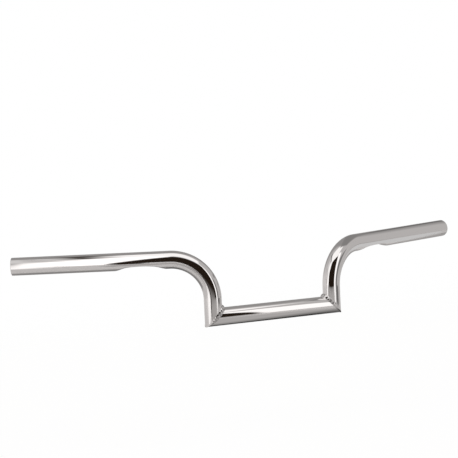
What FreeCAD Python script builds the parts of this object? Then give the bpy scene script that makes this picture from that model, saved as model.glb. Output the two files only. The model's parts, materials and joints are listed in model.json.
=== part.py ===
import FreeCAD, Part
import math
import os
import Sketcher

# Mustache handlebar of a motorcycle: a centre tube and two bent side tubes, mitred and welded together.
# The origin is the middle of the centre tube's axis. +X runs along that tube to the clutch side, +Z runs up
# along the risers, and the grips sweep back towards +Y. Lengths are in millimetres, angles in degrees.

# Driving dimensions
SIZES = {
    "tube_diameter": 25.4,        # outside of all three tubes
    "wall_thickness": 3.05,       # of all three tubes
    "centre_length": 187.0,       # between the two mitre corners, along the axis
    "riser_length": 26.5,         # straight run from the mitre corner up to the bend
    "bend_radius": 58.0,          # of the side tube's axis
    "pullback_angle": 24.0,       # of each grip, turned back from the centre tube
    "grip_length": 223.5,         # straight run from the bend to the open end
    "rim_chamfer": 1.2,           # of the outer edge at the open end
    "dimple_distance": 41.0,      # from the bend's end to the middle of the dimple
    "dimple_length": 68.0,        # at the tube's underside
    "dimple_depth": 6.0,          # at the middle
    "dimple_crown": 175.0,        # radius of the dimple's floor along the tube
    "dimple_slope": 22.0,         # of the two ends of the dimple
    "bead_radius": 2.25,          # of the weld bead's eight-sided section, to its corners
    "bead_side_inset": 1.2,       # of the bead's middle below the tubes, at the front and back of the mitre
    "bead_corner_inset": 0.6,     # the same along the mitre, as the mean of its two corners
    "bead_shift": 0.8,            # of the whole bead towards the inner corner
}

UPRIGHT_IN_SKETCH = FreeCAD.Vector(0, 1, 0)
MITRE_ANGLE = 45.0
BEAD_SIDES = 8
OVAL_END_SHARE = 0.77             # end radius over half the width, for an oval of four arcs close to an ellipse

doc = FreeCAD.newDocument("mustache_handlebar")


def make_sheet():
    """The sheet of driving dimensions, one named cell each."""
    sheet = doc.addObject("Spreadsheet::Sheet", "sheet")
    for row, (alias, value) in enumerate(SIZES.items(), start=1):
        sheet.set("A%d" % row, alias)
        sheet.set("B%d" % row, str(value))
        sheet.setAlias("B%d" % row, alias)
    doc.recompute()
    return sheet


sheet = make_sheet()


def size(alias):
    """A driving dimension as a number, for the first guess of a sketch that its constraints then hold."""
    return float(sheet.get(alias))


def point(x, y):
    """A point of a sketch."""
    return FreeCAD.Vector(x, y, 0)


def bind(sketch, expression, *constraint):
    """Add a dimension to a sketch and tie it to the sheet."""
    index = sketch.addConstraint(Sketcher.Constraint(*constraint))
    sketch.setExpression("Constraints[%d]" % index, expression)


def new_body(name, offset="0"):
    """An empty body, moved along X to stand on its own reference point."""
    body = doc.addObject("PartDesign::Body", name)
    body.setExpression("Placement.Base.x", offset)
    return body


def new_sketch(body, name, role):
    """A sketch on one of the body's own origin planes."""
    plane = next(feature for feature in body.Origin.OriginFeatures if feature.Role == role)
    sketch = body.newObject("Sketcher::SketchObject", name)
    sketch.AttachmentSupport = (plane, "")
    sketch.MapMode = "FlatFace"
    return sketch


def turn_back(sketch):
    """Turn an upright sketch about the riser, into the plane in which the side tube is bent."""
    sketch.AttachmentOffset = FreeCAD.Placement(
        FreeCAD.Vector(), FreeCAD.Rotation(UPRIGHT_IN_SKETCH, size("pullback_angle"))
    )
    sketch.setExpression("AttachmentOffset.Rotation.Angle", "sheet.pullback_angle")


def close_lines(sketch, corners):
    """A closed outline of straight lines through the given corners. Returns the number of its first line."""
    first = sketch.GeometryCount
    count = len(corners)
    for index, corner in enumerate(corners):
        sketch.addGeometry(Part.LineSegment(corner, corners[(index + 1) % count]))
    for index in range(count):
        following = first + (index + 1) % count
        sketch.addConstraint(Sketcher.Constraint("Coincident", first + index, 2, following, 1))
    return first


def cut_through(body, sketch, name):
    """Cut the sketch's outline out of the body, to both sides of the sketch, and see that it took something."""
    before = body.Shape.Volume
    pocket = body.newObject("PartDesign::Pocket", name)
    pocket.Profile = sketch
    pocket.SideType = "Symmetric"
    pocket.setExpression("Length", "4 * sheet.tube_diameter")
    doc.recompute()
    if not pocket.Shape.Volume < before:
        raise RuntimeError("%s cut nothing" % name)
    return pocket


def mitre_triangle(sketch, sign, corner, below):
    """A right triangle whose long side is the mitre line through the corner point at x = sign * corner.

    It covers what lies below that line on a riser, or what lies above and outside it on the centre tube.
    """
    reach = 2 * size("tube_diameter")
    x = sign * size("centre_length") / 2 if corner else 0.0
    high = point(x - sign * reach, reach)
    low = point(x + sign * reach, -reach)
    square = point(high.x, low.y) if below else point(low.x, high.y)
    first = close_lines(sketch, [high, low, square])
    shut_upright, shut_level = (first + 2, first + 1) if below else (first + 1, first + 2)
    sketch.addConstraint(Sketcher.Constraint("Vertical", shut_upright))
    sketch.addConstraint(Sketcher.Constraint("Horizontal", shut_level))
    middle = "%g * %s" % (sign, corner or "0")
    bind(sketch, "%s - %g * 2 * sheet.tube_diameter" % (middle, sign), "DistanceX", -1, 1, first, 1, high.x)
    bind(sketch, "2 * sheet.tube_diameter", "DistanceY", -1, 1, first, 1, high.y)
    bind(sketch, "%s + %g * 2 * sheet.tube_diameter" % (middle, sign), "DistanceX", -1, 1, first, 2, low.x)
    bind(sketch, "-2 * sheet.tube_diameter", "DistanceY", -1, 1, first, 2, low.y)


def circle(sketch, diameter, expression):
    """A circle about the sketch's origin."""
    index = sketch.addGeometry(Part.Circle(FreeCAD.Vector(), FreeCAD.Vector(0, 0, 1), diameter / 2))
    sketch.addConstraint(Sketcher.Constraint("Coincident", index, 3, -1, 1))
    bind(sketch, expression, "Diameter", index, diameter)
    return index


def make_centre_outside():
    """The straight rod between the risers, cut at both ends on the mitre lines."""
    body = new_body("centre_outside")
    section = new_sketch(body, "centre_section", "YZ_Plane")
    circle(section, size("tube_diameter"), "sheet.tube_diameter")
    pad = body.newObject("PartDesign::Pad", "centre_run")
    pad.Profile = section
    pad.SideType = "Symmetric"
    pad.setExpression("Length", "sheet.centre_length + 2 * sheet.tube_diameter")
    doc.recompute()
    ends = new_sketch(body, "centre_mitres", "XZ_Plane")
    for sign in (-1, 1):
        mitre_triangle(ends, sign, "sheet.centre_length / 2", below=False)
    cut_through(body, ends, "centre_mitre_cuts")
    return body


def make_centre_bore():
    """The bore of the centre tube, longer than the tube at both ends."""
    bore = doc.addObject("Part::Cylinder", "centre_bore")
    bore.Placement.Rotation = FreeCAD.Rotation(FreeCAD.Vector(0, 1, 0), 90)
    bore.setExpression("Radius", "sheet.tube_diameter / 2 - sheet.wall_thickness")
    bore.setExpression("Height", "sheet.centre_length + 2 * sheet.tube_diameter")
    bore.setExpression("Placement.Base.x", "-sheet.centre_length / 2 - sheet.tube_diameter")
    return bore


def bent_rod(name, bore_wall, overrun):
    """A round rod along the side tube's axis, from below the mitre, up the riser, round the bend and out the grip.

    bore_wall is taken off all round, and overrun carries the rod past the open end: both are zero for the outside
    of the tube, and the wall and some length to spare for its bore.
    """
    body = new_body(name, "sheet.centre_length / 2")
    rise = size("riser_length")
    radius = size("bend_radius")
    start = -size("tube_diameter")
    reach = radius + size("grip_length")

    path = new_sketch(body, name + "_axis", "XZ_Plane")
    turn_back(path)
    riser = path.addGeometry(Part.LineSegment(point(0, start), point(0, rise)))
    quarter = Part.Circle(point(radius, rise), FreeCAD.Vector(0, 0, 1), radius)
    bend = path.addGeometry(Part.ArcOfCircle(quarter, math.pi / 2, math.pi))
    grip = path.addGeometry(Part.LineSegment(point(radius, rise + radius), point(reach, rise + radius)))
    path.addConstraint(Sketcher.Constraint("PointOnObject", riser, 1, -2))
    path.addConstraint(Sketcher.Constraint("Vertical", riser))
    path.addConstraint(Sketcher.Constraint("Tangent", riser, 2, bend, 2))
    path.addConstraint(Sketcher.Constraint("Tangent", bend, 1, grip, 1))
    path.addConstraint(Sketcher.Constraint("Horizontal", grip))
    bind(path, "-sheet.tube_diameter", "DistanceY", -1, 1, riser, 1, start)
    bind(path, "sheet.riser_length", "DistanceY", -1, 1, bend, 3, rise)
    bind(path, "sheet.bend_radius", "Radius", bend, radius)
    bind(path, "sheet.grip_length + " + overrun, "DistanceX", grip, 1, grip, 2, reach - radius)

    section = new_sketch(body, name + "_section", "XY_Plane")
    section.setExpression("AttachmentOffset.Base.z", "-sheet.tube_diameter")
    circle(section, size("tube_diameter"), "sheet.tube_diameter - 2 * (%s)" % bore_wall)

    rod = body.newObject("PartDesign::AdditivePipe", name + "_rod")
    rod.Profile = section
    rod.Spine = (path, [])
    doc.recompute()
    return body, rod


def press_dimple(body, name, inward):
    """Take the dimple's hollow off the underside of the grip, with its outline moved inward by the given depth.

    Along the tube the hollow has a gently crowned floor between two slopes, and it is straight across. The bore is
    cut by the same outline moved in by one wall, because the wall is pressed in and keeps its thickness.
    """
    slope = math.radians(size("dimple_slope"))
    crown = size("dimple_crown")
    middle = size("bend_radius") + size("dimple_distance")
    underside = size("riser_length") + size("bend_radius") - size("tube_diameter") / 2
    spare = size("tube_diameter") / 2
    foot = size("dimple_length") / 2 + spare / math.tan(slope)
    shoulder = size("dimple_length") / 2 - size("dimple_depth") / math.tan(slope)
    floor = underside + size("dimple_depth")
    shoulder_height = floor - crown + math.sqrt(crown**2 - shoulder**2)

    sketch = new_sketch(body, name + "_outline", "XZ_Plane")
    turn_back(sketch)
    low_left = point(middle - foot, underside - spare)
    low_right = point(middle + foot, underside - spare)
    high_left = point(middle - shoulder, shoulder_height)
    high_right = point(middle + shoulder, shoulder_height)
    base = sketch.addGeometry(Part.LineSegment(low_left, low_right))
    right = sketch.addGeometry(Part.LineSegment(low_right, high_right))
    arc = sketch.addGeometry(Part.Arc(high_right, point(middle, floor), high_left))
    left = sketch.addGeometry(Part.LineSegment(low_left, high_left))
    sketch.addConstraint(Sketcher.Constraint("Horizontal", base))
    sketch.addConstraint(Sketcher.Constraint("Coincident", base, 1, left, 1))
    sketch.addConstraint(Sketcher.Constraint("Coincident", base, 2, right, 1))
    sketch.addConstraint(Sketcher.Constraint("Coincident", right, 2, arc, 1))
    sketch.addConstraint(Sketcher.Constraint("Coincident", left, 2, arc, 2))
    axis_height = "sheet.riser_length + sheet.bend_radius"
    centre_height = axis_height + " - sheet.tube_diameter / 2 + sheet.dimple_depth - sheet.dimple_crown"
    centre = "sheet.bend_radius + sheet.dimple_distance"
    slope_angle = "sheet.dimple_slope * 1 deg"
    half = "sheet.dimple_length / 2 + sheet.tube_diameter / 2 / tan(%s)" % slope_angle
    half = "(%s + %s / sin(%s))" % (half, inward, slope_angle)
    bind(sketch, centre, "DistanceX", -1, 1, arc, 3, middle)
    bind(sketch, centre_height, "DistanceY", -1, 1, arc, 3, floor - crown)
    bind(sketch, "sheet.dimple_crown + " + inward, "Radius", arc, crown)
    bind(sketch, axis_height + " - sheet.tube_diameter", "DistanceY", -1, 1, base, 1, low_left.y)
    bind(sketch, centre + " - " + half, "DistanceX", -1, 1, base, 1, low_left.x)
    bind(sketch, centre + " + " + half, "DistanceX", -1, 1, base, 2, low_right.x)
    bind(sketch, "180 deg - " + slope_angle, "Angle", right, math.pi - slope)
    bind(sketch, slope_angle, "Angle", left, slope)
    cut_through(body, sketch, name)


def cut(name, base, tool):
    """What is left of one object when another is taken away from it."""
    result = doc.addObject("Part::Cut", name)
    result.Base = base
    result.Tool = tool
    return result


def mirrored(name, source):
    """The same piece on the throttle side of the bar."""
    result = doc.addObject("Part::Mirroring", name)
    result.Source = source
    result.Normal = FreeCAD.Vector(1, 0, 0)
    return result


def make_bead_ring():
    """A closed ring round the clutch side's mitre: a flat-sided section carried along an oval in the mitre plane.

    The seam of two round tubes mitred at 45 degrees is an ellipse, longer by the root of two from corner to corner.
    The ring's oval of four tangent arcs follows it a little inside, and is shifted towards the inner corner, where
    the weld is heaviest. At the outer corner it only just covers the edge.
    """
    half_length = size("tube_diameter") / 2 * math.sqrt(2) - size("bead_corner_inset")
    half_width = size("tube_diameter") / 2 - size("bead_side_inset")
    end_radius = OVAL_END_SHARE * half_width
    end_place = half_length - end_radius
    side_radius = (end_place**2 + half_width**2 - end_radius**2) / (2 * (half_width - end_radius))
    joint = math.atan2(side_radius - half_width, end_place)
    shift = size("bead_shift")

    half_length_tie = "(sheet.tube_diameter / 2 * sqrt(2) - sheet.bead_corner_inset)"
    half_width_tie = "(sheet.tube_diameter / 2 - sheet.bead_side_inset)"
    end_tie = "(%g * %s)" % (OVAL_END_SHARE, half_width_tie)
    end_place_tie = "(%s - %s)" % (half_length_tie, end_tie)
    squares = "(%s ^ 2 + %s ^ 2 - %s ^ 2)" % (end_place_tie, half_width_tie, end_tie)
    side_tie = "%s / (2 * (%s - %s))" % (squares, half_width_tie, end_tie)

    body = new_body("bead_ring", "sheet.centre_length / 2")
    path = new_sketch(body, "bead_path", "XY_Plane")
    path.AttachmentOffset = FreeCAD.Placement(
        FreeCAD.Vector(), FreeCAD.Rotation(UPRIGHT_IN_SKETCH, MITRE_ANGLE)
    )
    arcs = [
        (point(end_place - shift, 0), end_radius, -joint, joint),
        (point(-shift, half_width - side_radius), side_radius, joint, math.pi - joint),
        (point(-end_place - shift, 0), end_radius, math.pi - joint, math.pi + joint),
        (point(-shift, side_radius - half_width), side_radius, math.pi + joint, 2 * math.pi - joint),
    ]
    for centre, radius, first, last in arcs:
        whole = Part.Circle(centre, FreeCAD.Vector(0, 0, 1), radius)
        path.addGeometry(Part.ArcOfCircle(whole, first, last))
    for index in range(len(arcs)):
        path.addConstraint(Sketcher.Constraint("Tangent", index, 2, (index + 1) % len(arcs), 1))
    for index, sign in ((0, 1), (2, -1)):
        path.addConstraint(Sketcher.Constraint("PointOnObject", index, 3, -1))
        place_tie = "%d * %s - sheet.bead_shift" % (sign, end_place_tie)
        bind(path, place_tie, "DistanceX", -1, 1, index, 3, sign * end_place - shift)
        bind(path, end_tie, "Radius", index, end_radius)
        bind(path, side_tie, "Radius", index + 1, side_radius)

    section = new_sketch(body, "bead_section", "XZ_Plane")
    corner = (half_length - shift) / math.sqrt(2)
    corner_tie = "(%s - sheet.bead_shift) / sqrt(2)" % half_length_tie
    middle = point(corner, -corner)
    reach = size("bead_radius")
    step = 2 * math.pi / BEAD_SIDES
    turns = [(index + 0.5) * step for index in range(BEAD_SIDES)]
    rim = [middle + point(reach * math.cos(turn), reach * math.sin(turn)) for turn in turns]
    first = close_lines(section, rim)
    around = section.addGeometry(Part.Circle(middle, FreeCAD.Vector(0, 0, 1), reach), True)
    for index in range(BEAD_SIDES):
        section.addConstraint(Sketcher.Constraint("PointOnObject", first + index, 1, around))
    for index in range(1, BEAD_SIDES):
        section.addConstraint(Sketcher.Constraint("Equal", first, first + index))
    section.addConstraint(Sketcher.Constraint("Vertical", first + BEAD_SIDES - 1))
    bind(section, corner_tie, "DistanceX", -1, 1, around, 3, corner)
    bind(section, "-" + corner_tie, "DistanceY", -1, 1, around, 3, -corner)
    bind(section, "sheet.bead_radius", "Radius", around, reach)

    ring = body.newObject("PartDesign::AdditivePipe", "bead_run")
    ring.Profile = section
    ring.Spine = (path, [])
    doc.recompute()
    return body


def make_side_outside():
    """The clutch side's riser, bend and grip as one solid bar, with its dimple, mitre and chamfered rim."""
    body, rod = bent_rod("side_outside", "0", "0")
    open_end = max(range(len(rod.Shape.Edges)), key=lambda index: rod.Shape.Edges[index].CenterOfMass.x)
    rim = body.newObject("PartDesign::Chamfer", "rim")
    rim.Base = (rod, ["Edge%d" % (open_end + 1)])
    rim.setExpression("Size", "sheet.rim_chamfer")
    doc.recompute()
    press_dimple(body, "dimple", "0")
    mitre = new_sketch(body, "riser_mitre", "XZ_Plane")
    mitre_triangle(mitre, 1, "", below=True)
    cut_through(body, mitre, "riser_mitre_cut")
    return body


def make_side_bore():
    """The bore of the clutch side's tube, narrowed where the dimple presses the wall in."""
    body, _ = bent_rod("side_bore", "sheet.wall_thickness", "sheet.tube_diameter")
    press_dimple(body, "pressed_wall", "sheet.wall_thickness")
    return body


def check(parts):
    """Stop if any object failed, or if a piece isn't one valid solid."""
    for item in doc.Objects:
        if "Invalid" in item.State or "Error" in item.State:
            raise RuntimeError("%s failed: %s" % (item.Name, item.State))
    for part in parts:
        shape = part.Shape
        if shape.isNull() or not shape.isValid() or len(shape.Solids) != 1:
            raise RuntimeError("%s is not one valid solid" % part.Label)


centre_outside = make_centre_outside()
side_outside = make_side_outside()
centre_tube = cut("centre_tube", centre_outside, make_centre_bore())
clutch_side_tube = cut("clutch_side_tube", side_outside, make_side_bore())
ring_off_centre = cut("ring_off_centre", make_bead_ring(), centre_outside)
clutch_side_weld = cut("clutch_side_weld", ring_off_centre, side_outside)
throttle_side_tube = mirrored("throttle_side_tube", clutch_side_tube)
throttle_side_weld = mirrored("throttle_side_weld", clutch_side_weld)
doc.recompute()

pieces = [centre_tube, throttle_side_tube, clutch_side_tube, throttle_side_weld, clutch_side_weld]
check(pieces)
os.makedirs("parts", exist_ok=True)
for piece in pieces:
    piece.Shape.exportStep("parts/%s.step" % piece.Label)
    print("%s: %.0f cubic millimetres" % (piece.Label, piece.Shape.Volume))
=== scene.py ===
import json
import math

import bpy
import numpy as np
from bpy.props import FloatProperty, FloatVectorProperty, IntProperty, PointerProperty
from mathutils import Matrix, Vector


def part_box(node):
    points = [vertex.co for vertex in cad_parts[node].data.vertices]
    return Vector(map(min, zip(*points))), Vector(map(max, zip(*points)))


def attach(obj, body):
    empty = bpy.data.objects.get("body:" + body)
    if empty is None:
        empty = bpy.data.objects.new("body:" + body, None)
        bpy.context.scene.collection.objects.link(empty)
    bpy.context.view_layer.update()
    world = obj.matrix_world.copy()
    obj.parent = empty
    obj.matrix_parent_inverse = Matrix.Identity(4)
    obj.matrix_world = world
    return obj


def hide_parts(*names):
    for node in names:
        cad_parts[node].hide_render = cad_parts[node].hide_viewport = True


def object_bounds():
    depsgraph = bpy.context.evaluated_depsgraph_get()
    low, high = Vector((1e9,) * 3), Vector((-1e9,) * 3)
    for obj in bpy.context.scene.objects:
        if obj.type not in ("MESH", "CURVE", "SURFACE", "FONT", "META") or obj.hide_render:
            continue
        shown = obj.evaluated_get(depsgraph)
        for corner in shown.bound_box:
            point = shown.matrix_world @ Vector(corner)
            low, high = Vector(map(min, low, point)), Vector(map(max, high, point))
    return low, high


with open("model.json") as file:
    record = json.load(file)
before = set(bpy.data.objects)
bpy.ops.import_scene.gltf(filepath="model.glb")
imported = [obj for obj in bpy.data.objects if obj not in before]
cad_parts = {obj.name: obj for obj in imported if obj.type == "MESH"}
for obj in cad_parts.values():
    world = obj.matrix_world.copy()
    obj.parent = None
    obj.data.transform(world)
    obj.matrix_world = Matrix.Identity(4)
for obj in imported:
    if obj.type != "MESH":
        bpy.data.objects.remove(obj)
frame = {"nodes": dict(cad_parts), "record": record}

bl_info = {
    "name": "Mustache handlebar",
    "version": (1, 0, 0),
    "blender": (4, 5, 0),
    "location": "3D View > Sidebar > Handlebar",
    "description": "Builds a mustache handlebar's chromed tubes, weld beads and stage in its packed frame",
    "category": "Object",
}

# All lengths are in metres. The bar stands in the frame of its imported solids: X along the centre tube, Y
# back towards the rider, Z up along the risers.
MM = 0.001
CAD_BOX = [list(corner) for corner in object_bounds()]
MOUNTS = {mount["name"]: mount for mount in frame["record"]["mounts"]}
SIDES = (("throttle", -1.0), ("clutch", 1.0))
RIM_ROUND = 1.2 * MM
WHITE = (1.0, 1.0, 1.0)

# Points along each part of a surface.
CENTRE_POINTS = 33
RISER_POINTS = 9
BEND_POINTS = 73
PLAIN_POINTS = 3
DIMPLE_POINTS = 153
GRIP_POINTS = 9
RIM_POINTS = 8
SEAM_POINTS = 900
BEAD_POINTS = 15
CARD_POINTS = (25, 9)

# The fine division of the dimple goes this far past its two ends.
PRESS_MARGIN = 4 * MM

# The chrome reaches this deep into an open end, and past the second depth the bore is bare steel.
PLATED_DEPTH = 4 * MM
BARE_DEPTH = 34 * MM

# Edges sharper than this aren't shaded smooth.
SHARP_ANGLE = math.radians(40)

# The bead's crest over the chord of an inner corner, the share of its height left at both corners, and how
# deep the ring closes under the tubes' skin.
CREST_LIFT = 1.12
CORNER_HEIGHT = 0.2
BEAD_SUNK = 1.2 * MM

# Ripples: their uneven steps (size, waves round the seam, start), how far valleys bow back at the toes,
# the level that keeps the bead's height, what is left on the smooth part, and half the width of its blend.
RIPPLE_DRIFT = ((0.22, 3, 0.6), (0.12, 7, 0.0))
RIPPLE_BOW = 0.45
RIPPLE_LEVEL = 0.6
FAINT_RIPPLE = 0.05
SMOOTH_BLEND = 0.175

# Noise values between which the plate turns dull, and the painted shade of the valleys against the crests.
DULL_NOISE = (0.35, 0.7)
VALLEY_SHADE = 0.45

# The camera's focal length and the picture's width, in pixels.
FOCAL_PIXELS = 1455.4
PICTURE_PIXELS = 458.0

# The edges of a sheet, the share of the floor that fades out at each, and the steps between stacked cards.
EDGES = ("Left", "Right", "Low", "High")
FLOOR_FADE = 0.3
WALL_STEP = 3 * MM
FLOOR_STEP = 2 * MM

# Parts of a direction, to the right, front or top, over which the studio's levels blend.
SIDE_BLEND = (-0.2, 0.2)
FRONT_BLEND = (0.0, 0.6)
ABOVE_BLEND = (0.09, 0.57)
BEHIND_BLEND = (-0.42, -0.9)
HORIZON_BLEND = (-0.02, 0.12)


def node_points(node):
    """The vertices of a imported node, as rows of x, y and z."""
    mesh = frame["nodes"][node].data
    flat = np.empty(3 * len(mesh.vertices), np.float32)
    mesh.vertices.foreach_get("co", flat)
    return flat.reshape(-1, 3)


def measure_frame():
    """The bar's main sizes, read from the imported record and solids.

    A grip's mount gives the tube's radius, the grip's direction and its straight length up to the rim, and
    a bar end's mount gives where the axis ends. What is left between the riser's axis and the grip is the
    bend's radius.
    """
    grip = MOUNTS["clutch_grip"]
    end = MOUNTS["clutch_bar_end"]["pos_m"]
    radius = grip["dims"]["r_mm"] * MM
    low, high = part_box("centre_tube")
    centre_length = high.x - low.x - 2 * radius
    pullback = math.atan2(grip["axis"][1], grip["axis"][0])
    grip_length = grip["dims"]["length_mm"] * MM + RIM_ROUND
    bend_radius = (end[0] - centre_length / 2) / math.cos(pullback) - grip_length
    centre = node_points("centre_tube")
    bore_radius = float(np.hypot(centre[:, 1], centre[:, 2]).min())
    return {
        "tube_diameter": 2 * radius,
        "wall_thickness": radius - bore_radius,
        "centre_length": centre_length,
        "riser_length": end[2] - bend_radius,
        "bend_radius": bend_radius,
        "pullback_angle": pullback,
        "grip_length": grip_length,
    }


MEASURED = measure_frame()


def length(name, description, default, low=0.0):
    """A length that a user may change."""
    return FloatProperty(name=name, description=description, default=default, min=low, precision=5,
                         subtype="DISTANCE", unit="LENGTH")


def angle(name, description, degrees):
    """An angle that a user may change, given in degrees."""
    return FloatProperty(name=name, description=description, default=math.radians(degrees),
                         subtype="ANGLE", unit="ROTATION")


def share(name, description, default):
    """A plain number from 0 to 1 that a user may change."""
    return FloatProperty(name=name, description=description, default=default, min=0.0, max=1.0,
                         subtype="FACTOR")


def strength(name, description, default):
    """A brightness that a user may change, where 1 is white."""
    return FloatProperty(name=name, description=description, default=default, min=0.0)


def colour(name, description, default):
    """A colour that a user may change."""
    return FloatVectorProperty(name=name, description=description, default=default, size=3, min=0.0, max=1.0,
                               subtype="COLOR")


class HandlebarSizes(bpy.types.PropertyGroup):
    """Sizes of the tubes and beads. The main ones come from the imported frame."""

    tube_diameter: length("Tube diameter", "Outside of all three tubes", MEASURED["tube_diameter"])
    wall_thickness: length("Wall thickness", "Of all three tubes", MEASURED["wall_thickness"])
    centre_length: length("Centre length", "Between the axes of the two risers", MEASURED["centre_length"])
    riser_length: length("Riser length", "From the centre tube's axis to the bend", MEASURED["riser_length"])
    bend_radius: length("Bend radius", "Of the side tube's axis", MEASURED["bend_radius"])
    pullback_angle: angle("Pullback", "Turn of each grip back from the centre tube",
                          math.degrees(MEASURED["pullback_angle"]))
    grip_length: length("Grip length", "From the bend to the open end", MEASURED["grip_length"])
    rim_round: length("Rim round", "Radius of the open end's outer edge", RIM_ROUND)
    bore_round: length("Bore round", "Radius of the open end's inner edge", 0.4 * MM)
    dimple_distance: length("Dimple distance", "From the bend to the middle of the dimple", 41 * MM)
    dimple_length: length("Dimple length", "At the tube's underside", 68 * MM)
    dimple_depth: length("Dimple depth", "At its middle", 6 * MM)
    dimple_crown: length("Dimple crown", "Radius of the dimple's floor along the tube", 175 * MM)
    dimple_slope: angle("Dimple slope", "Of the dimple's two ends", 22)
    dimple_lip: length("Dimple lip", "Width over which the dimple's edges are rounded", 1.6 * MM)
    bead_leg: length("Bead leg", "Reach of the weld from the inner corner along each tube", 4.2 * MM)
    bead_side: length("Bead side", "The same at the front and back of the mitre", 3.0 * MM)
    bead_outer: length("Bead outer", "The same at the outer corner", 1.1 * MM)
    bead_height: length("Bead height", "Of the weld over the tubes, at the front and back", 0.9 * MM)
    ripple_pitch: length("Ripple pitch", "Step of the ripples along the weld", 4.4 * MM)
    ripple_depth: length("Ripple depth", "Of the valleys between the ripples", 0.75 * MM)
    throttle_smooth: share("Throttle smooth", "Height up the mitre to which its bead is smooth", 0.225)
    clutch_smooth: share("Clutch smooth", "The same on the clutch side", 0.6)
    around: IntProperty(name="Sides", description="Faces round each tube", default=144, min=24, max=256)


class HandlebarFinish(bpy.types.PropertyGroup):
    """Colours and polish of the plated steel."""

    chrome: colour("Chrome", "Mirror colour of the plated tubes", (0.785, 0.772, 0.768))
    weld: colour("Weld", "Mirror colour of the plated beads", (0.74, 0.725, 0.72))
    bore: colour("Bore", "Bare steel deep in the tubes", (0.16, 0.145, 0.13))
    polish: share("Polish", "Roughness of the plated tubes where they are cleanest", 0.03)
    smudge: share("Smudge", "Roughness of the plated tubes where they are dullest", 0.05)
    weld_polish: share("Weld polish", "Roughness of the bead's crests", 0.06)
    weld_smudge: share("Weld smudge", "Roughness of the bead's valleys", 0.12)
    waviness: length("Waviness", "Height of the polished wall's faint waves", 0.006 * MM)


class HandlebarStage(bpy.types.PropertyGroup):
    """Camera, floor and light."""

    azimuth: angle("Azimuth", "Camera's turn about Z from looking along +Y", -22.595)
    elevation: angle("Elevation", "Camera's height above the horizon", 5.138)
    roll: angle("Roll", "Camera's turn about its own line of sight", -2.745)
    distance: length("Distance", "From the camera to the plane of the origin", 2091.2 * MM)
    offset_right: length("Offset right", "Of the line of sight from the origin", -64.35 * MM, low=-1.0)
    offset_up: length("Offset up", "Of the line of sight from the origin", 117.3 * MM, low=-1.0)
    focal: FloatProperty(name="Focal length", description="In widths of the picture",
                         default=FOCAL_PIXELS / PICTURE_PIXELS)
    floor: colour("Floor", "Of the pale floor", (0.83, 0.804, 0.79))
    floor_drop: length("Floor drop", "From the bar's lowest point down to the floor", 141 * MM)
    floor_reach: length("Floor reach", "From the middle of the floor to where it has faded out", 1.5)
    floor_shadow: share("Floor shadow", "How much of the shadow on the floor the camera sees", 0.1)
    floor_white: strength("Floor white", "Brightness of the floor in the camera's view", 1.035)
    studio_front: strength("Studio front", "Brightness in reflections of what is towards the camera", 0.97)
    studio_left: strength("Studio left", "The same on the throttle side", 0.73)
    studio_right: strength("Studio right", "The same on the clutch side", 0.56)
    studio_above: strength("Studio above", "The same overhead", 0.56)
    studio_behind: strength("Studio behind", "The same behind the bar", 0.34)
    fill: strength("Fill", "Brightness of the even light on the floor", 0.65)
    overhead: strength("Overhead", "Power of the overhead lamp, in watts", 6.0)
    overhead_width: length("Overhead width", "Of the overhead lamp", 1.6)
    overhead_height: length("Overhead height", "From the origin up to the overhead lamp", 1.8)
    wall_distance: length("Wall distance", "From the origin to the studio's front wall", 440 * MM)
    panel_height: length("Panel height", "From the origin up to the overhead panels", 648 * MM)
    panel_tint: colour("Panel tint", "Of the bright panels in reflections", (1.0, 0.98, 0.97))
    studio_tint: colour("Studio tint", "Of the surroundings in reflections", (1.0, 0.968, 0.954))
    sill: colour("Sill", "Of the grey wall below the opening", (0.44, 0.423, 0.413))
    opening: colour("Opening", "Of the dark room behind the camera", (0.019, 0.012, 0.008))


def sizes():
    """The size settings of the open scene."""
    return bpy.context.scene.handlebar_sizes


def finish():
    """The finish settings of the open scene."""
    return bpy.context.scene.handlebar_finish


# Shapes


def smooth_max(first, second, width):
    """The larger of two values, with the corner where they cross rounded over the given width."""
    near = np.clip(width - np.abs(first - second), 0.0, None) / width
    return np.maximum(first, second) + near**2 * width / 4


def smooth_step(value, low, high):
    """0 below low, 1 above high, and a smooth rise between them."""
    part = np.clip((value - low) / (high - low), 0.0, 1.0)
    return part * part * (3 - 2 * part)


def turn_angles(count):
    """Evenly spaced angles once round a tube."""
    return np.arange(count) * (2 * math.pi / count)


def centre_tube_surface():
    """Closed shell of the centre tube: out along the outer wall and back along the bore.

    A point at angle t has y = r cos t and z = r sin t, and x = u (L / 2 - z), where u runs from -1 to 1.
    So both ends lie on the 45 degree mitre planes, and the shell closes on itself across them.
    """
    size = sizes()
    outer = size.tube_diameter / 2
    inner = outer - size.wall_thickness
    turn = turn_angles(size.around)
    step = np.linspace(-1.0, 1.0, CENTRE_POINTS)
    u = np.concatenate([step, step[::-1]])[:, None]
    r = np.concatenate([np.full(step.size, outer), np.full(step.size, inner)])[:, None]
    y = r * np.cos(turn)
    z = r * np.sin(turn)
    x = u * (size.centre_length / 2 - z)
    depth = np.broadcast_to(r < outer, x.shape).astype(float)
    return np.stack([x, y, z], -1), depth


def dimple_floor(distance, inward):
    """Height of the dimple's floor over the grip's axis, at a distance from the bend's end.

    It is the lower of a crown of large radius and two straight slopes, with the corner between them
    rounded. The bore's floor is the same outline moved inward by one wall, square to itself.
    """
    size = sizes()
    off = np.abs(distance - size.dimple_distance)
    underside = -size.tube_diameter / 2
    crown = size.dimple_crown + inward
    reach = np.minimum(off, crown)
    arch = underside + size.dimple_depth - size.dimple_crown + np.sqrt(crown**2 - reach**2)
    slope = underside + (size.dimple_length / 2 - off) * math.tan(size.dimple_slope)
    slope = slope + inward / math.cos(size.dimple_slope)
    return -smooth_max(-arch, -slope, size.dimple_lip)


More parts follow.
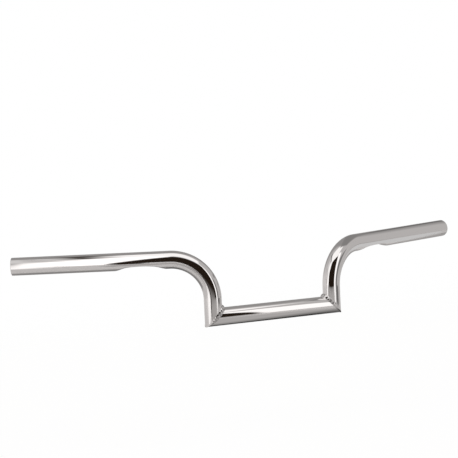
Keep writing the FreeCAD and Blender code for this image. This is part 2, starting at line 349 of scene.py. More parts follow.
def side_tube_rows(run, radius, inward):
    """Rings of the clutch side's tube at distances along its axis, with one radius for each.

    The axis goes up the riser, round a quarter circle and out along the grip. A ring's point is the axis
    plus r cos t towards the bend's inside plus r sin t across it. On the riser the rings shear from the
    mitre plane to level, and on the grip the underside is pressed up to the dimple's floor.
    """
    size = sizes()
    turn = turn_angles(size.around)
    quarter = size.bend_radius * math.pi / 2
    bend = np.clip((run - size.riser_length) / size.bend_radius, 0.0, math.pi / 2)[:, None]
    straight = np.clip(run - size.riser_length - quarter, 0.0, None)[:, None]
    rise = np.minimum(run, size.riser_length)[:, None]
    toward = radius[:, None] * np.cos(turn)
    across = radius[:, None] * np.sin(turn)

    floor = dimple_floor(straight, inward)
    toward = np.where(straight > 0, -smooth_max(-toward, floor, size.dimple_lip), toward)

    out = size.bend_radius * (1 - np.cos(bend)) + straight + toward * np.cos(bend)
    up = rise + size.bend_radius * np.sin(bend) - toward * np.sin(bend)
    cos_back = math.cos(size.pullback_angle)
    sin_back = math.sin(size.pullback_angle)
    x = out * cos_back - across * sin_back
    y = out * sin_back + across * cos_back
    up = up - x * np.clip(1 - run / size.riser_length, 0.0, None)[:, None]
    return np.stack([x + size.centre_length / 2, y, up], -1)


def side_tube_surface():
    """Closed shell of the clutch side's tube: along the outer wall, over the rim and back along the bore.

    The rim's outer and inner edges are quarter circles, and the end between them is flat. The second
    result is 0 on the outside and rises to 1 within the bore, away from the open end.
    """
    size = sizes()
    outer = size.tube_diameter / 2
    inner = outer - size.wall_thickness
    bend_start = size.riser_length
    bend_end = bend_start + size.bend_radius * math.pi / 2
    end = bend_end + size.grip_length
    press_start = bend_end + size.dimple_distance - size.dimple_length / 2 - PRESS_MARGIN
    press_end = bend_end + size.dimple_distance + size.dimple_length / 2 + PRESS_MARGIN
    wall = np.concatenate([
        np.linspace(0.0, bend_start, RISER_POINTS)[:-1],
        np.linspace(bend_start, bend_end, BEND_POINTS)[:-1],
        np.linspace(bend_end, press_start, PLAIN_POINTS)[:-1],
        np.linspace(press_start, press_end, DIMPLE_POINTS)[:-1],
        np.linspace(press_end, end - size.rim_round, GRIP_POINTS),
    ])
    corner = np.linspace(0.0, math.pi / 2, RIM_POINTS)
    rim_run = end - size.rim_round * (1 - np.sin(corner))
    rim_radius = outer - size.rim_round * (1 - np.cos(corner))
    lip_run = end - size.bore_round * (1 - np.cos(corner))
    lip_radius = inner + size.bore_round * (1 - np.sin(corner))
    outside = side_tube_rows(
        np.concatenate([wall[:-1], rim_run]),
        np.concatenate([np.full(wall.size - 1, outer), rim_radius]),
        0.0,
    )
    back = wall[::-1]
    inside = side_tube_rows(
        np.concatenate([lip_run, back[1:]]),
        np.concatenate([lip_radius, np.full(wall.size - 1, inner)]),
        size.wall_thickness,
    )
    from_end = np.concatenate([np.zeros(len(outside)), np.zeros(lip_run.size), end - back[1:]])
    depth = smooth_step(from_end, PLATED_DEPTH, BARE_DEPTH)
    points = np.concatenate([outside, inside])
    return points, np.broadcast_to(depth[:, None], points.shape[:2])


def unit(vectors):
    """The same directions with length 1."""
    return vectors / np.linalg.norm(vectors, axis=-1, keepdims=True)


def weld_surface(smooth):
    """Closed ring of weld metal round the clutch side's mitre.

    The seam is the ellipse (L / 2 - R cos p, -R sin p, R cos p), from the inner corner at p = 0 round the
    front to the outer corner at half a turn. Square to the seam, the bead is a parabola between a toe on
    each tube, drawn up by a control point outside the seam. Ripples are rounded ridges |sin| along the
    seam, with valleys bowed back at the toes. They fade out at the given share of the mitre's height and
    are faint below it. The ring closes through the metal of the tubes. The second result is 1 at the
    bottom of the valleys.
    """
    size = sizes()
    radius = size.tube_diameter / 2
    axis_x = size.centre_length / 2
    turn = turn_angles(SEAM_POINTS)
    cosine = np.cos(turn)
    sine = np.sin(turn)
    zero = np.zeros(SEAM_POINTS)
    seam = np.stack([axis_x - radius * cosine, -radius * sine, radius * cosine], -1)
    along = unit(np.stack([sine, -cosine, -sine], -1))
    on_centre = np.stack([zero, -sine, cosine], -1)
    on_riser = np.stack([-cosine, -sine, zero], -1)
    outward = unit(on_centre + on_riser)

    inner_share = ((1 + cosine) / 2)[:, None]
    side_share = np.abs(sine)[:, None]
    corner = np.where(cosine[:, None] > 0, size.bead_leg, size.bead_outer)
    reach = corner + (size.bead_side - corner) * np.where(cosine[:, None] > 0, side_share**2, side_share**4)
    toe_centre = seam + reach * np.cross(on_centre, along) * -1.0
    toe_riser = seam + reach * np.cross(on_riser, along)
    flat = np.hypot(toe_centre[:, 1], toe_centre[:, 2]) / radius
    toe_centre[:, 1:] /= flat[:, None]
    flat = np.hypot(toe_riser[:, 0] - axis_x, toe_riser[:, 1]) / radius
    toe_riser[:, 0] = axis_x + (toe_riser[:, 0] - axis_x) / flat
    toe_riser[:, 1] /= flat

    middle = (toe_centre + toe_riser) / 2
    chord = ((middle - seam) * outward).sum(-1, keepdims=True)
    height = size.bead_height * (CORNER_HEIGHT + (1 - CORNER_HEIGHT) * side_share)
    crest = np.where(chord > 0, chord * CREST_LIFT, 0.0) + height
    pull = 2 * crest - chord
    control = seam + pull * outward

    step = np.linspace(0.0, 1.0, BEAD_POINTS)[None, :, None]
    bead = (1 - step)**2 * toe_centre[:, None] + 2 * step * (1 - step) * control[:, None]
    bead = bead + step**2 * toe_riser[:, None]
    hump = 4 * step * (1 - step)

    spacing = np.linalg.norm(np.roll(seam, -1, 0) - seam, axis=-1)
    travelled = np.concatenate([[0.0], np.cumsum(spacing)[:-1]])
    ripples = round(float(spacing.sum()) / size.ripple_pitch)
    phase = travelled / spacing.sum() * ripples
    for drift, waves, start in RIPPLE_DRIFT:
        phase = phase + drift * np.sin(waves * turn + start)
    bowed = phase[:, None, None] + RIPPLE_BOW * (1 - hump)
    ridge = np.abs(np.sin(math.pi * bowed))
    rippled = smooth_step(inner_share, smooth - SMOOTH_BLEND, smooth + SMOOTH_BLEND)
    fade = FAINT_RIPPLE + (1 - FAINT_RIPPLE) * rippled
    bead = bead + (ridge - RIPPLE_LEVEL) * size.ripple_depth * (hump * fade[:, None]) * outward[:, None]

    under_riser = (toe_riser - BEAD_SUNK * on_riser)[:, None]
    under_seam = (seam - 2 * BEAD_SUNK * outward)[:, None]
    under_centre = (toe_centre - BEAD_SUNK * on_centre)[:, None]
    points = np.concatenate([bead, under_riser, under_seam, under_centre], 1)
    # The valley mask marks where the plate gets painted shade in its colour and a duller finish.
    valley = np.zeros(points.shape[:2])
    valley[:, :step.size] = ((1 - ridge) * hump * fade[:, None])[..., 0]
    return points, valley


def surface_object(name, points, mask_name, mask, sign):
    """A mesh object of a grid of points that closes on itself both ways, mirrored across X where sign is -1.

    The faces are turned so that the volume that they hold is positive, which makes them point outwards.
    The mask goes along as an attribute of the vertices.
    """
    rows, around = points.shape[:2]
    index = np.arange(rows * around).reshape(rows, around)
    above = np.roll(index, -1, 0)
    quads = np.stack([index, np.roll(index, -1, 1), np.roll(above, -1, 1), above], -1).reshape(-1, 4)
    flat = points.reshape(-1, 3) * np.array([sign, 1.0, 1.0])
    corners = flat[quads]
    cross = np.cross(corners[:, 2] - corners[:, 0], corners[:, 3] - corners[:, 1])
    volume = (corners.mean(1) * cross).sum() / 6
    if volume == 0 or not np.isfinite(volume):
        raise RuntimeError("%s encloses nothing" % name)
    if volume < 0:
        quads = quads[:, ::-1]

    mesh = bpy.data.meshes.new(name)
    mesh.from_pydata(flat.tolist(), [], quads.tolist())
    mesh.update()
    mesh.shade_smooth()
    mesh.set_sharp_from_angle(angle=SHARP_ANGLE)
    attribute = mesh.attributes.new(mask_name, "FLOAT", "POINT")
    attribute.data.foreach_set("value", np.ascontiguousarray(mask, np.float32).ravel())
    piece = bpy.data.objects.new(name, mesh)
    bpy.context.scene.collection.objects.link(piece)
    return piece


def place_piece(piece, node, material):
    """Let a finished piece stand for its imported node, on the bar's one body, in the given material."""
    piece.data.materials.append(material)
    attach(piece, "root")
    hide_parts(node)


# Finishes


def add_node(tree, kind, place, **settings):
    """A node at a place in the editor, with its own settings."""
    node = tree.nodes.new(kind)
    node.location = place
    for name, value in settings.items():
        setattr(node, name, value)
    return node


def polish_group():
    """Shader group of hand polish on plate: where it is dull, and the faint waves of the wall under it."""
    name = "hand_polish"
    if name in bpy.data.node_groups:
        return bpy.data.node_groups[name]
    group = bpy.data.node_groups.new(name, "ShaderNodeTree")
    face = group.interface
    face.new_socket("Position", in_out="INPUT", socket_type="NodeSocketVector")
    for socket, value in (("Wave Scale", 40.0), ("Smudge Scale", 30.0), ("Clean", 0.04), ("Dull", 0.08)):
        face.new_socket(socket, in_out="INPUT", socket_type="NodeSocketFloat").default_value = value
    face.new_socket("Roughness", in_out="OUTPUT", socket_type="NodeSocketFloat")
    face.new_socket("Wave Height", in_out="OUTPUT", socket_type="NodeSocketFloat")

    source = add_node(group, "NodeGroupInput", (-600, 0))
    sink = add_node(group, "NodeGroupOutput", (400, 0))
    wave = add_node(group, "ShaderNodeTexNoise", (-300, -160))
    wave.inputs["Detail"].default_value = 1.0
    smudge = add_node(group, "ShaderNodeTexNoise", (-300, 140))
    smudge.inputs["Detail"].default_value = 2.0
    spread = add_node(group, "ShaderNodeMapRange", (-60, 140))
    spread.inputs["From Min"].default_value = DULL_NOISE[0]
    spread.inputs["From Max"].default_value = DULL_NOISE[1]
    link = group.links.new
    link(source.outputs["Position"], wave.inputs["Vector"])
    link(source.outputs["Wave Scale"], wave.inputs["Scale"])
    link(source.outputs["Position"], smudge.inputs["Vector"])
    link(source.outputs["Smudge Scale"], smudge.inputs["Scale"])
    link(smudge.outputs["Fac"], spread.inputs["Value"])
    link(source.outputs["Clean"], spread.inputs["To Min"])
    link(source.outputs["Dull"], spread.inputs["To Max"])
    link(spread.outputs["Result"], sink.inputs["Roughness"])
    link(wave.outputs["Fac"], sink.inputs["Wave Height"])
    return group


def plated_material(name, plate, other, mask_name, clean, dull, wave_scale, wave_height, masked_roughness):
    """Plated steel: a mirror of the plate's colour, which gives way to another where the mask is 1."""
    if name in bpy.data.materials:
        return bpy.data.materials[name]
    material = bpy.data.materials.new(name)
    material.use_nodes = True
    tree = material.node_tree
    shader = tree.nodes["Principled BSDF"]
    shader.inputs["Metallic"].default_value = 1.0
    position = add_node(tree, "ShaderNodeTexCoord", (-1100, 0))
    polish = add_node(tree, "ShaderNodeGroup", (-850, 0), node_tree=polish_group())
    polish.inputs["Wave Scale"].default_value = wave_scale
    polish.inputs["Clean"].default_value = clean
    polish.inputs["Dull"].default_value = dull
    mask = add_node(tree, "ShaderNodeAttribute", (-850, 300), attribute_name=mask_name)
    tint = add_node(tree, "ShaderNodeMix", (-450, 300), data_type="RGBA")
    tint.inputs["A"].default_value = (*plate, 1.0)
    tint.inputs["B"].default_value = (*other, 1.0)
    dulling = add_node(tree, "ShaderNodeMix", (-450, 60), data_type="FLOAT")
    dulling.inputs["B"].default_value = masked_roughness
    bump = add_node(tree, "ShaderNodeBump", (-450, -220))
    bump.inputs["Distance"].default_value = wave_height
    link = tree.links.new
    link(position.outputs["Object"], polish.inputs["Position"])
    link(mask.outputs["Fac"], tint.inputs["Factor"])
    link(mask.outputs["Fac"], dulling.inputs["Factor"])
    link(polish.outputs["Roughness"], dulling.inputs["A"])
    link(polish.outputs["Wave Height"], bump.inputs["Height"])
    link(tint.outputs["Result"], shader.inputs["Base Color"])
    link(dulling.outputs["Result"], shader.inputs["Roughness"])
    link(bump.outputs["Normal"], shader.inputs["Normal"])
    return material


def chrome_material():
    """Bright chrome on the tubes, with bare dull steel deep in the bores."""
    look = finish()
    return plated_material("polished_chrome", look.chrome, look.bore, "bore_depth", look.polish, look.smudge,
                           wave_scale=45.0, wave_height=look.waviness, masked_roughness=0.5)


def weld_material():
    """Plate over the beads: a little duller than the tubes, with painted shade darkening the ripples'
    valleys.
    """
    look = finish()
    # Painted shade: the ripples' valleys take a darkened copy of the weld's colour.
    valley = tuple(VALLEY_SHADE * part for part in look.weld)
    return plated_material("rippled_plate", look.weld, valley, "valley", look.weld_polish, look.weld_smudge,
                           wave_scale=300.0, wave_height=2 * look.waviness, masked_roughness=0.3)


class HANDLEBAR_OT_centre_tube(bpy.types.Operator):
    """Build the straight tube that the riser clamps hold"""

    bl_idname = "handlebar.centre_tube"
    bl_label = "Centre tube"

    def execute(self, context):
        points, depth = centre_tube_surface()
        piece = surface_object("polished_centre_tube", points, "bore_depth", depth, 1.0)
        place_piece(piece, "centre_tube", chrome_material())
        return {"FINISHED"}


class HANDLEBAR_OT_side_tubes(bpy.types.Operator):
    """Build the two bent tubes with their risers, grips and dimples"""

    bl_idname = "handlebar.side_tubes"
    bl_label = "Side tubes"

    def execute(self, context):
        points, depth = side_tube_surface()
        for side, sign in SIDES:
            piece = surface_object("polished_%s_tube" % side, points, "bore_depth", depth, sign)
            place_piece(piece, side + "_side_tube", chrome_material())
        return {"FINISHED"}


class HANDLEBAR_OT_welds(bpy.types.Operator):
    """Build the rippled weld beads round the two mitres"""

    bl_idname = "handlebar.welds"
    bl_label = "Welds"

    def execute(self, context):
        for side, sign in SIDES:
            points, valley = weld_surface(getattr(sizes(), side + "_smooth"))
            piece = surface_object("rippled_%s_weld" % side, points, "valley", valley, sign)
            place_piece(piece, side + "_side_weld", weld_material())
        return {"FINISHED"}


# Stage


def camera_axes(stage):
    """Unit vectors to the camera's right and up, and back from the bar to the camera."""
    flat = math.cos(stage.elevation)
    back = Vector((
        math.sin(stage.azimuth) * flat,
        -math.cos(stage.azimuth) * flat,
        math.sin(stage.elevation),
    ))
    level_right = Vector((0, 0, 1)).cross(back).normalized()
    level_up = back.cross(level_right)
    right = level_right * math.cos(stage.roll) + level_up * math.sin(stage.roll)
    up = level_up * math.cos(stage.roll) - level_right * math.sin(stage.roll)
    return right, up, back


def make_camera(stage):
    """The camera at the angle that the stage's settings give."""
    right, up, back = camera_axes(stage)
    place = right * stage.offset_right + up * stage.offset_up + back * stage.distance
    data = bpy.data.cameras.new("camera")
    data.lens = stage.focal * data.sensor_width
    camera = bpy.data.objects.new("camera", data)
    turn = Matrix((right, up, back)).transposed().to_4x4()
    camera.matrix_world = Matrix.Translation(place) @ turn
    bpy.context.scene.collection.objects.link(camera)
    bpy.context.scene.camera = camera


def grid_object(name, points, material):
    """An open sheet of the stage, from a grid of points. Its UV map runs from 0 to 1 both ways."""
    rows, columns = points.shape[:2]
    index = np.arange(rows * columns).reshape(rows, columns)
    quads = np.stack([index[:-1, :-1], index[:-1, 1:], index[1:, 1:], index[1:, :-1]], -1).reshape(-1, 4)
    mesh = bpy.data.meshes.new(name)
    mesh.from_pydata(points.reshape(-1, 3).tolist(), [], quads.tolist())
    v, u = np.meshgrid(np.linspace(0.0, 1.0, rows), np.linspace(0.0, 1.0, columns), indexing="ij")
    place = np.stack([u, v], -1).reshape(-1, 2)[quads.ravel()]
    mesh.uv_layers.new(name="UVMap").data.foreach_set("uv", place.astype(np.float32).ravel())
    mesh.materials.append(material)
    sheet = bpy.data.objects.new(name, mesh)
    bpy.context.scene.collection.objects.link(sheet)
    return sheet


def bare_material(name):
    """A material with only its output, and that output's socket."""
    material = bpy.data.materials.new(name)
    material.use_nodes = True
    tree = material.node_tree
    tree.nodes.remove(tree.nodes["Principled BSDF"])
    return material, tree, tree.nodes["Material Output"].inputs["Surface"]


def floor_material(stage):
    """Pale floor that fades out at its edges. The camera sees white, apart from a share of the shadow."""
    material, tree, surface = bare_material("pale_floor")
    matt = add_node(tree, "ShaderNodeBsdfDiffuse", (-500, 100))
    matt.inputs["Color"].default_value = (*stage.floor, 1.0)
    white = add_node(tree, "ShaderNodeEmission", (-500, -60))
    white.inputs["Strength"].default_value = stage.floor_white
    path = add_node(tree, "ShaderNodeLightPath", (-900, 300))
    seen = add_node(tree, "ShaderNodeMath", (-700, 300), operation="MULTIPLY")
    seen.inputs[1].default_value = 1 - stage.floor_shadow
    front = add_node(tree, "ShaderNodeMixShader", (-250, 60))
    edge = soft_edge(tree, (-700, -240), (FLOOR_FADE,) * len(EDGES))
    below = add_node(tree, "ShaderNodeNewGeometry", (-700, 620))
    above = add_node(tree, "ShaderNodeMath", (-500, 620), operation="SUBTRACT")
    above.inputs[0].default_value = 1.0
    cover = add_node(tree, "ShaderNodeMath", (-250, 420), operation="MULTIPLY")
    clear = add_node(tree, "ShaderNodeBsdfTransparent", (-250, -120))
    whole = add_node(tree, "ShaderNodeMixShader", (0, 60))
    link = tree.links.new
    link(path.outputs["Is Camera Ray"], seen.inputs[0])
    link(seen.outputs["Value"], front.inputs["Fac"])
    link(matt.outputs["BSDF"], front.inputs[1])
    link(white.outputs["Emission"], front.inputs[2])
    link(below.outputs["Backfacing"], above.inputs[1])
    link(above.outputs["Value"], cover.inputs[0])
    link(edge, cover.inputs[1])
    link(cover.outputs["Value"], whole.inputs["Fac"])
    link(clear.outputs["BSDF"], whole.inputs[1])
    link(front.outputs["Shader"], whole.inputs[2])
    link(whole.outputs["Shader"], surface)
    return material


def make_floor(stage):
    """A flat floor, some way below the bar. It is clear from below."""
    reach = np.array([-1.0, 1.0]) * stage.floor_reach
    y, x = np.meshgrid(reach, reach, indexing="ij")
    level = np.full_like(x, CAD_BOX[0][2] - stage.floor_drop)
    grid_object("floor", np.stack([x, y, level], -1), floor_material(stage))


def soft_edge_group():
    """Shader group that fades a sheet out at its edges: the product of four smooth steps in its UV map."""
    name = "soft_edge"
    if name in bpy.data.node_groups:
        return bpy.data.node_groups[name]
    group = bpy.data.node_groups.new(name, "ShaderNodeTree")
    face = group.interface
    face.new_socket("Place", in_out="INPUT", socket_type="NodeSocketVector")
    for edge in EDGES:
        face.new_socket(edge, in_out="INPUT", socket_type="NodeSocketFloat").default_value = 0.1
    face.new_socket("Cover", in_out="OUTPUT", socket_type="NodeSocketFloat")
    source = add_node(group, "NodeGroupInput", (-900, 0))
    split = add_node(group, "ShaderNodeSeparateXYZ", (-700, 0))
    link = group.links.new
    link(source.outputs["Place"], split.inputs["Vector"])
    cover = None
    for index, (edge, axis, start) in enumerate(zip(EDGES, "XXYY", (0.0, 1.0, 0.0, 1.0))):
        inset = add_node(group, "ShaderNodeMath", (-500, -180 * index), operation="SUBTRACT")
        inset.inputs[0].default_value = start
        link(split.outputs[axis], inset.inputs[1])
        depth = add_node(group, "ShaderNodeMath", (-320, -180 * index), operation="ABSOLUTE")
        link(inset.outputs["Value"], depth.inputs[0])
        step = add_node(group, "ShaderNodeMapRange", (-140, -180 * index), interpolation_type="SMOOTHSTEP")
        link(depth.outputs["Value"], step.inputs["Value"])
        link(source.outputs[edge], step.inputs["From Max"])
        if cover is None:
            cover = step.outputs["Result"]
            continue
        product = add_node(group, "ShaderNodeMath", (60, -180 * index), operation="MULTIPLY")
        link(cover, product.inputs[0])
        link(step.outputs["Result"], product.inputs[1])
        cover = product.outputs["Value"]
    sink = add_node(group, "NodeGroupOutput", (260, 0))
    link(cover, sink.inputs["Cover"])
    return group


def soft_edge(tree, place, fades):
    """A node's output: how much of a sheet is there. The fades are shares of its width and height."""
    spot = add_node(tree, "ShaderNodeTexCoord", (place[0] - 200, place[1]))
    edge = add_node(tree, "ShaderNodeGroup", place, node_tree=soft_edge_group())
    for socket, fade in zip(EDGES, fades):
        edge.inputs[socket].default_value = fade
    tree.links.new(spot.outputs["UV"], edge.inputs["Place"])
    return edge.outputs["Cover"]


def card_material(name, tint, brightness, fades):
    """A plain glow that fades to clear at the edges. The fades are shares of the card's width and height."""
    material, tree, surface = bare_material(name)
    edge = soft_edge(tree, (-500, 0), fades)
    glow = add_node(tree, "ShaderNodeEmission", (-300, -120))
    glow.inputs["Color"].default_value = (*tint, 1.0)
    glow.inputs["Strength"].default_value = brightness
    clear = add_node(tree, "ShaderNodeBsdfTransparent", (-300, -280))
    whole = add_node(tree, "ShaderNodeMixShader", (-60, 0))
    link = tree.links.new
    link(edge, whole.inputs["Fac"])
    link(clear.outputs["BSDF"], whole.inputs[1])
    link(glow.outputs["Emission"], whole.inputs[2])
    link(whole.outputs["Shader"], surface)
    return material


def ways(stage):
    """Level unit vectors to the camera's right and towards the camera, and the one that points up."""
    right = np.array([math.cos(stage.azimuth), math.sin(stage.azimuth), 0.0])
    toward = np.array([math.sin(stage.azimuth), -math.cos(stage.azimuth), 0.0])
    return right, toward, np.array([0.0, 0.0, 1.0])


def make_card(name, plane, tint, brightness, across, along, fades, lean=0.0):
    """A flat glowing sheet that only reflections see.

    The plane is a point and two unit vectors. across and along are the sheet's edges at half cover,
    measured from that point along the two vectors, and the fades are the widths of its left, right, low
    and high edges. Above the point, the left edge leans to the right by the given slope.
    """
    origin, first, second = plane
    left = across[0] - fades[0] / 2
    right = across[1] + fades[1] / 2
    low = along[0] - fades[2] / 2
    high = along[1] + fades[3] / 2
    t, s = np.meshgrid(*(np.linspace(0.0, 1.0, count) for count in CARD_POINTS), indexing="ij")
    height = low + t * (high - low)
    start = left + lean * np.clip(height, 0.0, None)
    side = start + s * (right - start)
    points = origin + side[..., None] * first + height[..., None] * second
    width = right - left
    tall = high - low
    shares = (fades[0] / width, fades[1] / width, fades[2] / tall, fades[3] / tall)
    card = grid_object(name, points, card_material(name, tint, brightness, shares))
    card.visible_camera = False
    card.visible_diffuse = False
    card.visible_shadow = False


def make_front_wall(stage):
    """The studio's front wall: a bright panel on each side of the dark opening that the camera looks in by.

    The opening stands on a grey sill. On its left a dark foot and ledge carry it further down, and two low
    panels light the wall's ends. Four cards stand nearer to the bar, where its two sides see them in
    different places: a low wall and a low screen in the sill's grey, a bright wing that leans over the
    opening's left edge, and a bright hood before the left bend.
    """
    right, toward, up = ways(stage)
    panel, sill, dark = stage.panel_tint, stage.sill, stage.opening
    opening_left, opening_right = -0.291, 0.41

    def upright(distance):
        return distance * toward, right, up

    def wall(step):
        return upright(stage.wall_distance + WALL_STEP * step)

    low_wall = upright(0.22)
    low_screen = upright(0.15)
    hood = upright(0.1)
    wing = 0.344 * toward, -right, up
    make_card("left_panel", wall(4), panel, 1.65,
              across=(-0.45, -0.155), along=(-0.02, 0.52), fades=(0.19, 0.19, 0.285, 0.285))
    make_card("left_low_panel", wall(5), panel, 1.2,
              across=(-0.9, -0.4), along=(-0.2, 0.05), fades=(0.1, 0.1, 0.08, 0.1))
    make_card("right_panel", wall(3), panel, 1.3,
              across=(0.413, 0.77), along=(-0.07, 0.81), fades=(0.07, 0.07, 0.06, 0.105))
    make_card("right_low_panel", wall(3.5), panel, 1.2,
              across=(0.56, 0.84), along=(-0.12, -0.05), fades=(0.1, 0.06, 0.04, 0.04))
    make_card("sill", wall(2), sill, 1.0,
              across=(-0.2, 0.43), along=(-0.137, 0.016), fades=(0.06, 0.04, 0.246, 0.002))
    make_card("opening_foot", wall(1), dark, 1.0,
              across=(-0.282, -0.224), along=(-0.145, 0.0), fades=(0.03, 0.03, 0.12, 0.03))
    make_card("opening_ledge", wall(1.5), dark, 1.0,
              across=(opening_left, -0.165), along=(-0.055, 0.1), fades=(0.03, 0.05, 0.03, 0.02))
    make_card("low_wall", low_wall, sill, 1.0,
              across=(-0.27, -0.12), along=(-0.2, -0.04), fades=(0.03, 0.03, 0.03, 0.02))
    make_card("low_screen", low_screen, sill, 1.0,
              across=(-0.118, -0.02), along=(-0.2, 0.018), fades=(0.03, 0.03, 0.03, 0.06))
    make_card("opening", wall(0), dark, 1.0,
              across=(opening_left, opening_right), along=(-0.034, 0.76), fades=(0.03, 0.03, 0.036, 0.15))
    make_card("left_wing", wing, panel, 1.5,
              across=(0.278, 0.34), along=(-0.03, 0.68), fades=(0.015, 0.03, 0.05, 0.1), lean=-0.295)
    make_card("left_hood", hood, panel, 1.2,
              across=(-0.16, 0.0), along=(0.148, 0.3), fades=(0.02, 0.03, 0.033, 0.06))


def make_overhead_panels(stage):
    """Two bright panels overhead with a dark gap between them, and a shade close above the right bend."""
    right, toward, up = ways(stage)
    panel, dark = stage.panel_tint, stage.opening

    def overhead(height):
        return height * up, right, toward

    def ceiling(step):
        return overhead(stage.panel_height + WALL_STEP * step)

    shade = overhead(0.15)
    make_card("overhead_panel", ceiling(2), panel, 1.2,
              across=(-0.4, 0.367), along=(-0.025, 0.556), fades=(0.09,) * 4)
    make_card("overhead_left_panel", ceiling(1), panel, 0.76,
              across=(-1.0, -0.447), along=(-0.025, 0.556), fades=(0.09,) * 4)
    make_card("overhead_shade", shade, stage.studio_tint, 0.27,
              across=(0.108, 0.178), along=(-0.2, -0.031), fades=(0.015, 0.03, 0.06, 0.012))
    make_card("overhead_gap", ceiling(0), dark, 1.5,
              across=(-0.38, -0.302), along=(-0.18, 0.326), fades=(0.1,) * 4)


def make_flags(stage):
    """Patches of shade on the floor and round the bar.

    The floor carries painted shade under the bar and behind it, deepest behind its middle, with a painted
    pool of light behind the right grip and a dim patch far out on that side. Far away stand a dim patch
    behind and a dim strip to the right.
    """
    right, toward, up = ways(stage)
    level = CAD_BOX[0][2] - stage.floor_drop
    tint = stage.studio_tint
    far = 1.5
    strip_turn = math.radians(69)

    def ground(step):
        return (level + FLOOR_STEP * step) * up, right, toward

    # Painted shade on the floor under the bar's middle, which only reflections see.
    make_card("floor_tone", ground(1), tint, 0.49,
              across=(-0.12, 0.26), along=(-0.3, 0.6), fades=(0.15, 0.15, 0.2, 0.3))
    make_card("floor_light", ground(1.5), WHITE, 0.68,
              across=(0.4, 0.95), along=(-0.4, -0.02), fades=(0.12, 0.2, 0.08, 0.2))
    make_card("floor_shade", ground(2), tint, 0.27,
              across=(-0.48, 0.26), along=(-0.55, 0.012), fades=(0.2, 0.15, 0.2, 0.11))
    make_card("far_shade", ground(2.5), tint, 0.4,
              across=(0.1, 0.6), along=(-1.0, -0.41), fades=(0.1, 0.1, 0.2, 0.12))
    make_card("deep_shade", ground(3), tint, 0.05,
              across=(-0.2, 0.15), along=(-0.5, -0.055), fades=(0.15, 0.15, 0.2, 0.06))
    make_card("side_shade", ground(3.5), tint, 0.17,
              across=(1.08, 1.46), along=(-0.22, 0.48), fades=(0.08, 0.1, 0.44, 0.1))
    back = -far * toward, right, up
    make_card("back_shade", back, tint, 0.18,
              across=(0.47, 0.85), along=(0.35, 1.15), fades=(0.06, 0.1, 0.2, 0.2))
    away = math.cos(strip_turn) * toward + math.sin(strip_turn) * right
    aside = math.cos(strip_turn) * right - math.sin(strip_turn) * toward
    strip = far * away, aside, up
    make_card("dim_strip", strip, tint, 0.22,
              across=(-0.31, 0.31), along=(-0.5, 0.65), fades=(0.2, 0.2, 0.1, 0.3))


def make_overhead(stage):
    """A broad soft lamp overhead, for the bar's shadow on the floor. Reflections don't see it."""
    data = bpy.data.lights.new("overhead", "AREA")
    data.size = stage.overhead_width
    data.energy = stage.overhead
    lamp = bpy.data.objects.new("overhead", data)
    lamp.location = (0.0, 0.0, stage.overhead_height)
    lamp.visible_camera = False
    lamp.visible_glossy = False
    bpy.context.scene.collection.objects.link(lamp)


def ramp_node(tree, place, source, blend, start, end):
    """A smooth step between two levels, over a range of the source. A level is a number or an output."""
    node = add_node(tree, "ShaderNodeMapRange", place, interpolation_type="SMOOTHSTEP")
    tree.links.new(source, node.inputs["Value"])
    node.inputs["From Min"].default_value = blend[0]
    node.inputs["From Max"].default_value = blend[1]
    for socket, level in (("To Min", start), ("To Max", end)):
        if isinstance(level, bpy.types.NodeSocket):
            tree.links.new(level, node.inputs[socket])
        else:
            node.inputs[socket].default_value = level
    return node.outputs["Result"]


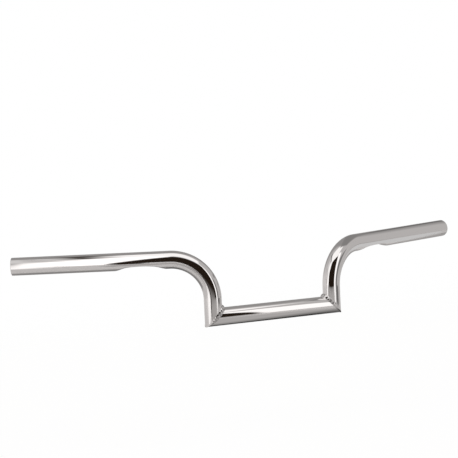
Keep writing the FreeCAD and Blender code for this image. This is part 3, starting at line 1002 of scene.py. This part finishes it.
def make_world(stage):
    """Pale surroundings: plain white where the camera looks past the bar, and a soft studio for all else.

    In reflections the studio is brightest in front, lighter on the left than on the right, dimmer above
    and dimmest behind the bar from the horizon up.
    """
    world = bpy.data.worlds.new("studio")
    bpy.context.scene.world = world
    world.use_nodes = True
    tree = world.node_tree
    studio = tree.nodes["Background"]
    output = tree.nodes["World Output"]
    link = tree.links.new
    place = add_node(tree, "ShaderNodeTexCoord", (-1500, 0))
    flat = add_node(tree, "ShaderNodeVectorMath", (-1300, 300), operation="MULTIPLY")
    flat.inputs[1].default_value = (1.0, 1.0, 0.0)
    level_way = add_node(tree, "ShaderNodeVectorMath", (-1100, 300), operation="NORMALIZE")
    split = add_node(tree, "ShaderNodeSeparateXYZ", (-1300, 0))
    link(place.outputs["Generated"], flat.inputs[0])
    link(flat.outputs["Vector"], level_way.inputs[0])
    link(place.outputs["Generated"], split.inputs["Vector"])
    height = split.outputs["Z"]
    parts = []
    for index, way in enumerate(ways(stage)[:2]):
        part = add_node(tree, "ShaderNodeVectorMath", (-900, 400 - 200 * index), operation="DOT_PRODUCT")
        part.inputs[1].default_value = way
        link(level_way.outputs["Vector"], part.inputs[0])
        parts.append(part.outputs["Value"])
    rightness, frontness = parts

    level = ramp_node(tree, (-700, 400), rightness, SIDE_BLEND, stage.studio_left, stage.studio_right)
    level = ramp_node(tree, (-500, 400), frontness, FRONT_BLEND, level, stage.studio_front)
    level = ramp_node(tree, (-300, 400), height, ABOVE_BLEND, level, stage.studio_above)
    dimmed = ramp_node(tree, (-100, 600), frontness, BEHIND_BLEND, level, stage.studio_behind)
    level = ramp_node(tree, (-100, 400), height, HORIZON_BLEND, level, dimmed)
    studio.inputs["Color"].default_value = (*stage.studio_tint, 1.0)
    link(level, studio.inputs["Strength"])

    light = add_node(tree, "ShaderNodeBackground", (-250, -300))
    light.inputs["Color"].default_value = (*WHITE, 1.0)
    light.inputs["Strength"].default_value = stage.fill
    white = add_node(tree, "ShaderNodeBackground", (-250, -140))
    white.inputs["Color"].default_value = (*WHITE, 1.0)
    path = add_node(tree, "ShaderNodeLightPath", (-500, 400))
    mirrored = add_node(tree, "ShaderNodeMath", (-250, 300), operation="MAXIMUM")
    link(path.outputs["Is Glossy Ray"], mirrored.inputs[0])
    link(path.outputs["Is Transmission Ray"], mirrored.inputs[1])
    unseen = add_node(tree, "ShaderNodeMixShader", (0, 60))
    whole = add_node(tree, "ShaderNodeMixShader", (200, 60))
    link(mirrored.outputs["Value"], unseen.inputs["Fac"])
    link(light.outputs["Background"], unseen.inputs[1])
    link(studio.outputs["Background"], unseen.inputs[2])
    link(path.outputs["Is Camera Ray"], whole.inputs["Fac"])
    link(unseen.outputs["Shader"], whole.inputs[1])
    link(white.outputs["Background"], whole.inputs[2])
    link(whole.outputs["Shader"], output.inputs["Surface"])


class HANDLEBAR_OT_stage(bpy.types.Operator):
    """Build the floor, the light and the camera"""

    bl_idname = "handlebar.stage"
    bl_label = "Stage"

    def execute(self, context):
        stage = context.scene.handlebar_stage
        context.scene.view_settings.view_transform = "Standard"
        make_world(stage)
        make_floor(stage)
        make_front_wall(stage)
        make_overhead_panels(stage)
        make_flags(stage)
        make_overhead(stage)
        make_camera(stage)
        return {"FINISHED"}


class HANDLEBAR_PT_sidebar(bpy.types.Panel):
    """Sizes, finish and stage of the handlebar, with a button for each piece"""

    bl_idname = "HANDLEBAR_PT_sidebar"
    bl_label = "Mustache handlebar"
    bl_space_type = "VIEW_3D"
    bl_region_type = "UI"
    bl_category = "Handlebar"

    def draw(self, context):
        layout = self.layout
        scene = context.scene
        for settings in (scene.handlebar_sizes, scene.handlebar_finish, scene.handlebar_stage):
            box = layout.box()
            for name in settings.__annotations__:
                box.prop(settings, name)
        for operator in OPERATORS:
            layout.operator(operator.bl_idname)


OPERATORS = (
    HANDLEBAR_OT_centre_tube,
    HANDLEBAR_OT_side_tubes,
    HANDLEBAR_OT_welds,
    HANDLEBAR_OT_stage,
)
CLASSES = (HandlebarSizes, HandlebarFinish, HandlebarStage, *OPERATORS, HANDLEBAR_PT_sidebar)


def register():
    """Make the settings, the operators and the panel known."""
    for item in CLASSES:
        bpy.utils.register_class(item)
    bpy.types.Scene.handlebar_sizes = PointerProperty(type=HandlebarSizes)
    bpy.types.Scene.handlebar_finish = PointerProperty(type=HandlebarFinish)
    bpy.types.Scene.handlebar_stage = PointerProperty(type=HandlebarStage)


def unregister():
    """Take them away again."""
    del bpy.types.Scene.handlebar_stage
    del bpy.types.Scene.handlebar_finish
    del bpy.types.Scene.handlebar_sizes
    for item in reversed(CLASSES):
        bpy.utils.unregister_class(item)


def main():
    """Build the bar and its stage."""
    register()
    bpy.ops.handlebar.centre_tube()
    bpy.ops.handlebar.side_tubes()
    bpy.ops.handlebar.welds()
    bpy.ops.handlebar.stage()


if __name__ == "__main__":
    main()
